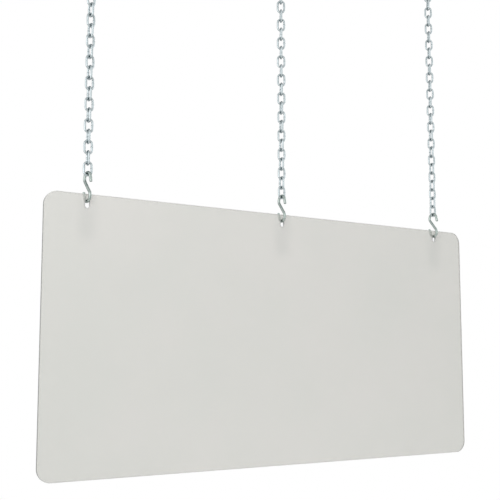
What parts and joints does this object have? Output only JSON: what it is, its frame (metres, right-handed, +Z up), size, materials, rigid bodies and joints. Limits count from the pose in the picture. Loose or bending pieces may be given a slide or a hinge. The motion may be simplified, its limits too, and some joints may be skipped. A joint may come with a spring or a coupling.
{
  "type": "hanging sneeze guard",
  "caption": "Clear protective sheet that hangs from a ceiling on steel chains, with open S hooks in slots along its top edge and a screw hook above each chain.",
  "frame": {"origin": "in the ceiling plane, on the screw axis of the centre ceiling hook", "axes": "+Z up along the screw, +X to the right along the sheet, -Y towards the customer"},
  "size_m": [1, 0.0294, 1.1482],
  "materials": {
    "sheet": "gloss",
    "chain_steel": "satin",
    "hook_steel": "satin"
  },
  "bodies": {
    "ceiling_hooks": {"ceiling_hook_left": "hook_steel", "ceiling_hook_centre": "hook_steel", "ceiling_hook_right": "hook_steel"},
    "chain_left_link_01": {"chain_left_link_01": "chain_steel"},
    "chain_left_link_02": {"chain_left_link_02": "chain_steel"},
    "chain_left_links_03_to_04": {"chain_left_links_03_to_04": "chain_steel"},
    "chain_left_links_05_to_06": {"chain_left_links_05_to_06": "chain_steel"},
    "chain_left_links_07_to_08": {"chain_left_links_07_to_08": "chain_steel"},
    "chain_left_links_09_to_10": {"chain_left_links_09_to_10": "chain_steel"},
    "chain_left_links_11_to_12": {"chain_left_links_11_to_12": "chain_steel"},
    "chain_left_links_13_to_14": {"chain_left_links_13_to_14": "chain_steel"},
    "chain_left_links_15_to_16": {"chain_left_links_15_to_16": "chain_steel"},
    "chain_left_links_17_to_18": {"chain_left_links_17_to_18": "chain_steel"},
    "chain_left_links_19_to_20": {"chain_left_links_19_to_20": "chain_steel"},
    "chain_left_links_21_to_22": {"chain_left_links_21_to_22": "chain_steel"},
    "chain_left_links_23_to_24": {"chain_left_links_23_to_24": "chain_steel"},
    "chain_left_links_25_to_27": {"chain_left_links_25_to_27": "chain_steel"},
    "chain_left_link_28": {"chain_left_link_28": "chain_steel"},
    "s_hook_left": {"s_hook_left": "hook_steel"},
    "chain_centre_link_01": {"chain_centre_link_01": "chain_steel"},
    "chain_centre_link_02": {"chain_centre_link_02": "chain_steel"},
    "chain_centre_links_03_to_04": {"chain_centre_links_03_to_04": "chain_steel"},
    "chain_centre_links_05_to_06": {"chain_centre_links_05_to_06": "chain_steel"},
    "chain_centre_links_07_to_08": {"chain_centre_links_07_to_08": "chain_steel"},
    "chain_centre_links_09_to_10": {"chain_centre_links_09_to_10": "chain_steel"},
    "chain_centre_links_11_to_12": {"chain_centre_links_11_to_12": "chain_steel"},
    "chain_centre_links_13_to_14": {"chain_centre_links_13_to_14": "chain_steel"},
    "chain_centre_links_15_to_16": {"chain_centre_links_15_to_16": "chain_steel"},
    "chain_centre_links_17_to_18": {"chain_centre_links_17_to_18": "chain_steel"},
    "chain_centre_links_19_to_20": {"chain_centre_links_19_to_20": "chain_steel"},
    "chain_centre_links_21_to_22": {"chain_centre_links_21_to_22": "chain_steel"},
    "chain_centre_links_23_to_24": {"chain_centre_links_23_to_24": "chain_steel"},
    "chain_centre_links_25_to_27": {"chain_centre_links_25_to_27": "chain_steel"},
    "chain_centre_link_28": {"chain_centre_link_28": "chain_steel"},
    "s_hook_centre": {"s_hook_centre": "hook_steel"},
    "chain_right_link_01": {"chain_right_link_01": "chain_steel"},
    "chain_right_link_02": {"chain_right_link_02": "chain_steel"},
    "chain_right_links_03_to_04": {"chain_right_links_03_to_04": "chain_steel"},
    "chain_right_links_05_to_06": {"chain_right_links_05_to_06": "chain_steel"},
    "chain_right_links_07_to_08": {"chain_right_links_07_to_08": "chain_steel"},
    "chain_right_links_09_to_10": {"chain_right_links_09_to_10": "chain_steel"},
    "chain_right_links_11_to_12": {"chain_right_links_11_to_12": "chain_steel"},
    "chain_right_links_13_to_14": {"chain_right_links_13_to_14": "chain_steel"},
    "chain_right_links_15_to_16": {"chain_right_links_15_to_16": "chain_steel"},
    "chain_right_links_17_to_18": {"chain_right_links_17_to_18": "chain_steel"},
    "chain_right_links_19_to_20": {"chain_right_links_19_to_20": "chain_steel"},
    "chain_right_links_21_to_22": {"chain_right_links_21_to_22": "chain_steel"},
    "chain_right_links_23_to_24": {"chain_right_links_23_to_24": "chain_steel"},
    "chain_right_links_25_to_27": {"chain_right_links_25_to_27": "chain_steel"},
    "chain_right_link_28": {"chain_right_link_28": "chain_steel"},
    "s_hook_right": {"s_hook_right": "hook_steel"},
    "panel": {"panel": "sheet"}
  },
  "joints": [
    {"name": "swing_left", "type": "hinge", "parent": "ceiling_hooks", "child": "chain_left_link_01", "pos_m": [-0.42, 0, -0.033], "axis": [-1, 0, 0], "range_deg": [-25, 25]},
    {"name": "sway_left", "type": "hinge", "parent": "chain_left_link_01", "child": "chain_left_link_02", "pos_m": [-0.42, 0, -0.0522], "axis": [0, -1, 0], "range_deg": [-20, 20]},
    {"name": "bend_03_left", "type": "hinge", "parent": "chain_left_link_02", "child": "chain_left_links_03_to_04", "pos_m": [-0.42, 0, -0.0719], "axis": [-1, 0, 0], "range_deg": [-8, 8]},
    {"name": "bend_05_left", "type": "hinge", "parent": "chain_left_links_03_to_04", "child": "chain_left_links_05_to_06", "pos_m": [-0.42, 0, -0.1113], "axis": [1, 0, 0], "range_deg": [-8, 8]},
    {"name": "bend_07_left", "type": "hinge", "parent": "chain_left_links_05_to_06", "child": "chain_left_links_07_to_08", "pos_m": [-0.42, 0, -0.1507], "axis": [-1, 0, 0], "range_deg": [-8, 8]},
    {"name": "bend_09_left", "type": "hinge", "parent": "chain_left_links_07_to_08", "child": "chain_left_links_09_to_10", "pos_m": [-0.42, 0, -0.1901], "axis": [1, 0, 0], "range_deg": [-8, 8]},
    {"name": "bend_11_left", "type": "hinge", "parent": "chain_left_links_09_to_10", "child": "chain_left_links_11_to_12", "pos_m": [-0.42, 0, -0.2295], "axis": [-1, 0, 0], "range_deg": [-8, 8]},
    {"name": "bend_13_left", "type": "hinge", "parent": "chain_left_links_11_to_12", "child": "chain_left_links_13_to_14", "pos_m": [-0.42, 0, -0.2689], "axis": [1, 0, 0], "range_deg": [-8, 8]},
    {"name": "bend_15_left", "type": "hinge", "parent": "chain_left_links_13_to_14", "child": "chain_left_links_15_to_16", "pos_m": [-0.42, 0, -0.3083], "axis": [-1, 0, 0], "range_deg": [-8, 8]},
    {"name": "bend_17_left", "type": "hinge", "parent": "chain_left_links_15_to_16", "child": "chain_left_links_17_to_18", "pos_m": [-0.42, 0, -0.3477], "axis": [1, 0, 0], "range_deg": [-8, 8]},
    {"name": "bend_19_left", "type": "hinge", "parent": "chain_left_links_17_to_18", "child": "chain_left_links_19_to_20", "pos_m": [-0.42, 0, -0.3871], "axis": [-1, 0, 0], "range_deg": [-8, 8]},
    {"name": "bend_21_left", "type": "hinge", "parent": "chain_left_links_19_to_20", "child": "chain_left_links_21_to_22", "pos_m": [-0.42, 0, -0.4265], "axis": [1, 0, 0], "range_deg": [-8, 8]},
    {"name": "bend_23_left", "type": "hinge", "parent": "chain_left_links_21_to_22", "child": "chain_left_links_23_to_24", "pos_m": [-0.42, 0, -0.4659], "axis": [-1, 0, 0], "range_deg": [-8, 8]},
    {"name": "bend_25_left", "type": "hinge", "parent": "chain_left_links_23_to_24", "child": "chain_left_links_25_to_27", "pos_m": [-0.42, 0, -0.5053], "axis": [1, 0, 0], "range_deg": [-8, 8]},
    {"name": "level_left", "type": "hinge", "parent": "chain_left_links_25_to_27", "child": "chain_left_link_28", "pos_m": [-0.42, 0, -0.5644], "axis": [0, -1, 0], "range_deg": [-20, 20]},
    {"name": "s_hook_tilt_left", "type": "hinge", "parent": "chain_left_link_28", "child": "s_hook_left", "pos_m": [-0.42, 0, -0.5841], "axis": [-1, 0, 0], "range_deg": [-25, 25]},
    {"name": "swing_centre", "type": "hinge", "parent": "ceiling_hooks", "child": "chain_centre_link_01", "pos_m": [0, 0, -0.033], "axis": [-1, 0, 0], "range_deg": [-25, 25]},
    {"name": "sway_centre", "type": "hinge", "parent": "chain_centre_link_01", "child": "chain_centre_link_02", "pos_m": [0, 0, -0.0522], "axis": [0, -1, 0], "range_deg": [-20, 20]},
    {"name": "bend_03_centre", "type": "hinge", "parent": "chain_centre_link_02", "child": "chain_centre_links_03_to_04", "pos_m": [0, 0, -0.0719], "axis": [-1, 0, 0], "range_deg": [-8, 8]},
    {"name": "bend_05_centre", "type": "hinge", "parent": "chain_centre_links_03_to_04", "child": "chain_centre_links_05_to_06", "pos_m": [0, 0, -0.1113], "axis": [1, 0, 0], "range_deg": [-8, 8]},
    {"name": "bend_07_centre", "type": "hinge", "parent": "chain_centre_links_05_to_06", "child": "chain_centre_links_07_to_08", "pos_m": [0, 0, -0.1507], "axis": [-1, 0, 0], "range_deg": [-8, 8]},
    {"name": "bend_09_centre", "type": "hinge", "parent": "chain_centre_links_07_to_08", "child": "chain_centre_links_09_to_10", "pos_m": [0, 0, -0.1901], "axis": [1, 0, 0], "range_deg": [-8, 8]},
    {"name": "bend_11_centre", "type": "hinge", "parent": "chain_centre_links_09_to_10", "child": "chain_centre_links_11_to_12", "pos_m": [0, 0, -0.2295], "axis": [-1, 0, 0], "range_deg": [-8, 8]},
    {"name": "bend_13_centre", "type": "hinge", "parent": "chain_centre_links_11_to_12", "child": "chain_centre_links_13_to_14", "pos_m": [0, 0, -0.2689], "axis": [1, 0, 0], "range_deg": [-8, 8]},
    {"name": "bend_15_centre", "type": "hinge", "parent": "chain_centre_links_13_to_14", "child": "chain_centre_links_15_to_16", "pos_m": [0, 0, -0.3083], "axis": [-1, 0, 0], "range_deg": [-8, 8]},
    {"name": "bend_17_centre", "type": "hinge", "parent": "chain_centre_links_15_to_16", "child": "chain_centre_links_17_to_18", "pos_m": [0, 0, -0.3477], "axis": [1, 0, 0], "range_deg": [-8, 8]},
    {"name": "bend_19_centre", "type": "hinge", "parent": "chain_centre_links_17_to_18", "child": "chain_centre_links_19_to_20", "pos_m": [0, 0, -0.3871], "axis": [-1, 0, 0], "range_deg": [-8, 8]},
    {"name": "bend_21_centre", "type": "hinge", "parent": "chain_centre_links_19_to_20", "child": "chain_centre_links_21_to_22", "pos_m": [0, 0, -0.4265], "axis": [1, 0, 0], "range_deg": [-8, 8]},
    {"name": "bend_23_centre", "type": "hinge", "parent": "chain_centre_links_21_to_22", "child": "chain_centre_links_23_to_24", "pos_m": [0, 0, -0.4659], "axis": [-1, 0, 0], "range_deg": [-8, 8]},
    {"name": "bend_25_centre", "type": "hinge", "parent": "chain_centre_links_23_to_24", "child": "chain_centre_links_25_to_27", "pos_m": [0, 0, -0.5053], "axis": [1, 0, 0], "range_deg": [-8, 8]},
    {"name": "level_centre", "type": "hinge", "parent": "chain_centre_links_25_to_27", "child": "chain_centre_link_28", "pos_m": [0, 0, -0.5644], "axis": [0, -1, 0], "range_deg": [-20, 20]},
    {"name": "s_hook_tilt_centre", "type": "hinge", "parent": "chain_centre_link_28", "child": "s_hook_centre", "pos_m": [0, 0, -0.5841], "axis": [-1, 0, 0], "range_deg": [-25, 25]},
    {"name": "swing_right", "type": "hinge", "parent": "ceiling_hooks", "child": "chain_right_link_01", "pos_m": [0.42, 0, -0.033], "axis": [-1, 0, 0], "range_deg": [-25, 25]},
    {"name": "sway_right", "type": "hinge", "parent": "chain_right_link_01", "child": "chain_right_link_02", "pos_m": [0.42, 0, -0.0522], "axis": [0, -1, 0], "range_deg": [-20, 20]},
    {"name": "bend_03_right", "type": "hinge", "parent": "chain_right_link_02", "child": "chain_right_links_03_to_04", "pos_m": [0.42, 0, -0.0719], "axis": [-1, 0, 0], "range_deg": [-8, 8]},
    {"name": "bend_05_right", "type": "hinge", "parent": "chain_right_links_03_to_04", "child": "chain_right_links_05_to_06", "pos_m": [0.42, 0, -0.1113], "axis": [1, 0, 0], "range_deg": [-8, 8]},
    {"name": "bend_07_right", "type": "hinge", "parent": "chain_right_links_05_to_06", "child": "chain_right_links_07_to_08", "pos_m": [0.42, 0, -0.1507], "axis": [-1, 0, 0], "range_deg": [-8, 8]},
    {"name": "bend_09_right", "type": "hinge", "parent": "chain_right_links_07_to_08", "child": "chain_right_links_09_to_10", "pos_m": [0.42, 0, -0.1901], "axis": [1, 0, 0], "range_deg": [-8, 8]},
    {"name": "bend_11_right", "type": "hinge", "parent": "chain_right_links_09_to_10", "child": "chain_right_links_11_to_12", "pos_m": [0.42, 0, -0.2295], "axis": [-1, 0, 0], "range_deg": [-8, 8]},
    {"name": "bend_13_right", "type": "hinge", "parent": "chain_right_links_11_to_12", "child": "chain_right_links_13_to_14", "pos_m": [0.42, 0, -0.2689], "axis": [1, 0, 0], "range_deg": [-8, 8]},
    {"name": "bend_15_right", "type": "hinge", "parent": "chain_right_links_13_to_14", "child": "chain_right_links_15_to_16", "pos_m": [0.42, 0, -0.3083], "axis": [-1, 0, 0], "range_deg": [-8, 8]},
    {"name": "bend_17_right", "type": "hinge", "parent": "chain_right_links_15_to_16", "child": "chain_right_links_17_to_18", "pos_m": [0.42, 0, -0.3477], "axis": [1, 0, 0], "range_deg": [-8, 8]},
    {"name": "bend_19_right", "type": "hinge", "parent": "chain_right_links_17_to_18", "child": "chain_right_links_19_to_20", "pos_m": [0.42, 0, -0.3871], "axis": [-1, 0, 0], "range_deg": [-8, 8]},
    {"name": "bend_21_right", "type": "hinge", "parent": "chain_right_links_19_to_20", "child": "chain_right_links_21_to_22", "pos_m": [0.42, 0, -0.4265], "axis": [1, 0, 0], "range_deg": [-8, 8]},
    {"name": "bend_23_right", "type": "hinge", "parent": "chain_right_links_21_to_22", "child": "chain_right_links_23_to_24", "pos_m": [0.42, 0, -0.4659], "axis": [-1, 0, 0], "range_deg": [-8, 8]},
    {"name": "bend_25_right", "type": "hinge", "parent": "chain_right_links_23_to_24", "child": "chain_right_links_25_to_27", "pos_m": [0.42, 0, -0.5053], "axis": [1, 0, 0], "range_deg": [-8, 8]},
    {"name": "level_right", "type": "hinge", "parent": "chain_right_links_25_to_27", "child": "chain_right_link_28", "pos_m": [0.42, 0, -0.5644], "axis": [0, -1, 0], "range_deg": [-20, 20]},
    {"name": "s_hook_tilt_right", "type": "hinge", "parent": "chain_right_link_28", "child": "s_hook_right", "pos_m": [0.42, 0, -0.5841], "axis": [-1, 0, 0], "range_deg": [-25, 25]},
    {"name": "sheet_tilt", "type": "hinge", "parent": "s_hook_centre", "child": "panel", "pos_m": [0, 0, -0.6213], "axis": [-1, 0, 0], "range_deg": [-25, 25]}
  ],
  "couplings": [
    {"joint": "swing_left", "follows": "swing_centre", "ratio": 1},
    {"joint": "sway_left", "follows": "sway_centre", "ratio": 1},
    {"joint": "bend_03_left", "follows": "bend_03_centre", "ratio": 1},
    {"joint": "bend_05_left", "follows": "bend_05_centre", "ratio": 1},
    {"joint": "bend_07_left", "follows": "bend_07_centre", "ratio": 1},
    {"joint": "bend_09_left", "follows": "bend_09_centre", "ratio": 1},
    {"joint": "bend_11_left", "follows": "bend_11_centre", "ratio": 1},
    {"joint": "bend_13_left", "follows": "bend_13_centre", "ratio": 1},
    {"joint": "bend_15_left", "follows": "bend_15_centre", "ratio": 1},
    {"joint": "bend_17_left", "follows": "bend_17_centre", "ratio": 1},
    {"joint": "bend_19_left", "follows": "bend_19_centre", "ratio": 1},
    {"joint": "bend_21_left", "follows": "bend_21_centre", "ratio": 1},
    {"joint": "bend_23_left", "follows": "bend_23_centre", "ratio": 1},
    {"joint": "bend_25_left", "follows": "bend_25_centre", "ratio": 1},
    {"joint": "level_left", "follows": "sway_centre", "ratio": -1},
    {"joint": "s_hook_tilt_left", "follows": "s_hook_tilt_centre", "ratio": 1},
    {"joint": "level_centre", "follows": "sway_centre", "ratio": -1},
    {"joint": "swing_right", "follows": "swing_centre", "ratio": 1},
    {"joint": "sway_right", "follows": "sway_centre", "ratio": 1},
    {"joint": "bend_03_right", "follows": "bend_03_centre", "ratio": 1},
    {"joint": "bend_05_right", "follows": "bend_05_centre", "ratio": 1},
    {"joint": "bend_07_right", "follows": "bend_07_centre", "ratio": 1},
    {"joint": "bend_09_right", "follows": "bend_09_centre", "ratio": 1},
    {"joint": "bend_11_right", "follows": "bend_11_centre", "ratio": 1},
    {"joint": "bend_13_right", "follows": "bend_13_centre", "ratio": 1},
    {"joint": "bend_15_right", "follows": "bend_15_centre", "ratio": 1},
    {"joint": "bend_17_right", "follows": "bend_17_centre", "ratio": 1},
    {"joint": "bend_19_right", "follows": "bend_19_centre", "ratio": 1},
    {"joint": "bend_21_right", "follows": "bend_21_centre", "ratio": 1},
    {"joint": "bend_23_right", "follows": "bend_23_centre", "ratio": 1},
    {"joint": "bend_25_right", "follows": "bend_25_centre", "ratio": 1},
    {"joint": "level_right", "follows": "sway_centre", "ratio": -1},
    {"joint": "s_hook_tilt_right", "follows": "s_hook_tilt_centre", "ratio": 1}
  ]
}
